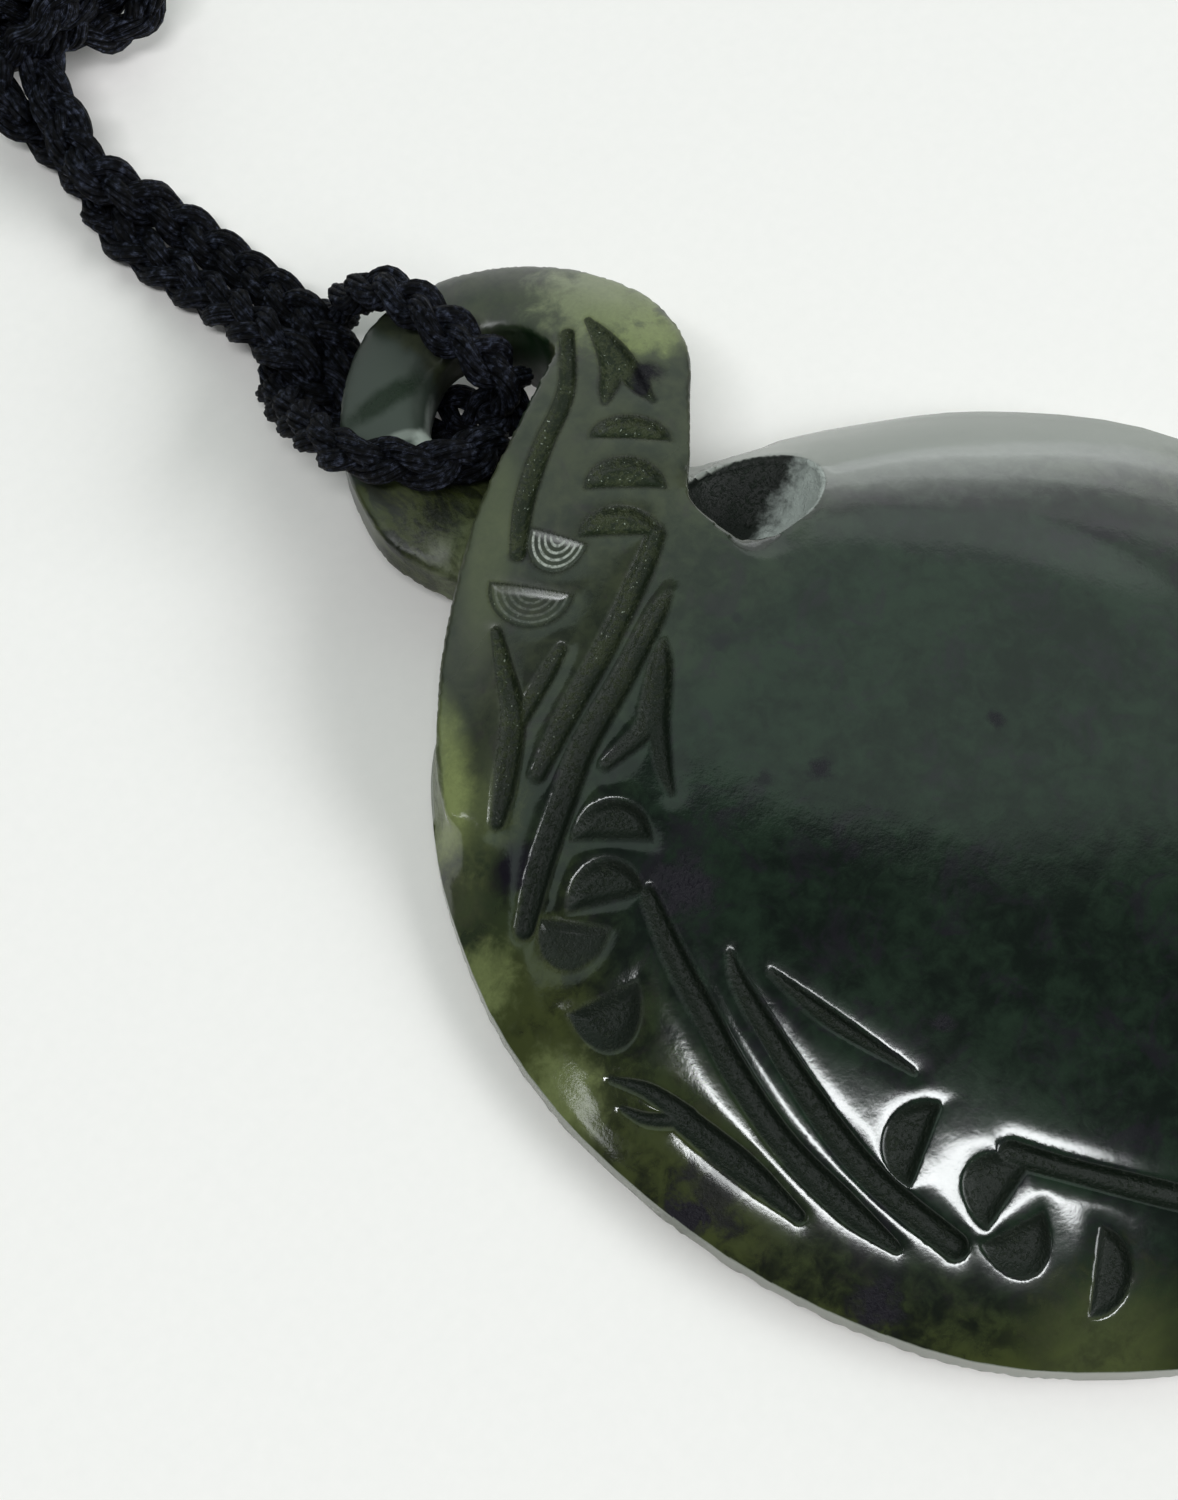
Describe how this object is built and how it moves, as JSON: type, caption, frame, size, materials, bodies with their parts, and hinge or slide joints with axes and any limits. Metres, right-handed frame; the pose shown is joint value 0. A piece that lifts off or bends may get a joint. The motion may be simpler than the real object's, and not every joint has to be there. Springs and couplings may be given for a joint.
{
  "type": "greenstone twist pendant on a plaited cord",
  "caption": "Carved green stone pendant, a domed blade twisted into a ring at its narrow end, on a black plaited cord that loops round the neck.",
  "frame": {"origin": "on the pendant's flat back, in the middle of the blade", "axes": "+Y along the pendant from the blade to its ring, +Z out of its engraved face"},
  "size_m": [0.1456, 0.3448, 0.0077],
  "materials": {
    "green_stone": "polished",
    "waxed_cotton": "plaited and waxed"
  },
  "bodies": {
    "root": {"stone_pendant": "green_stone", "cord_hitch": "waxed_cotton", "cord_knot": "waxed_cotton", "neck_cord": "waxed_cotton"}
  },
  "joints": []
}
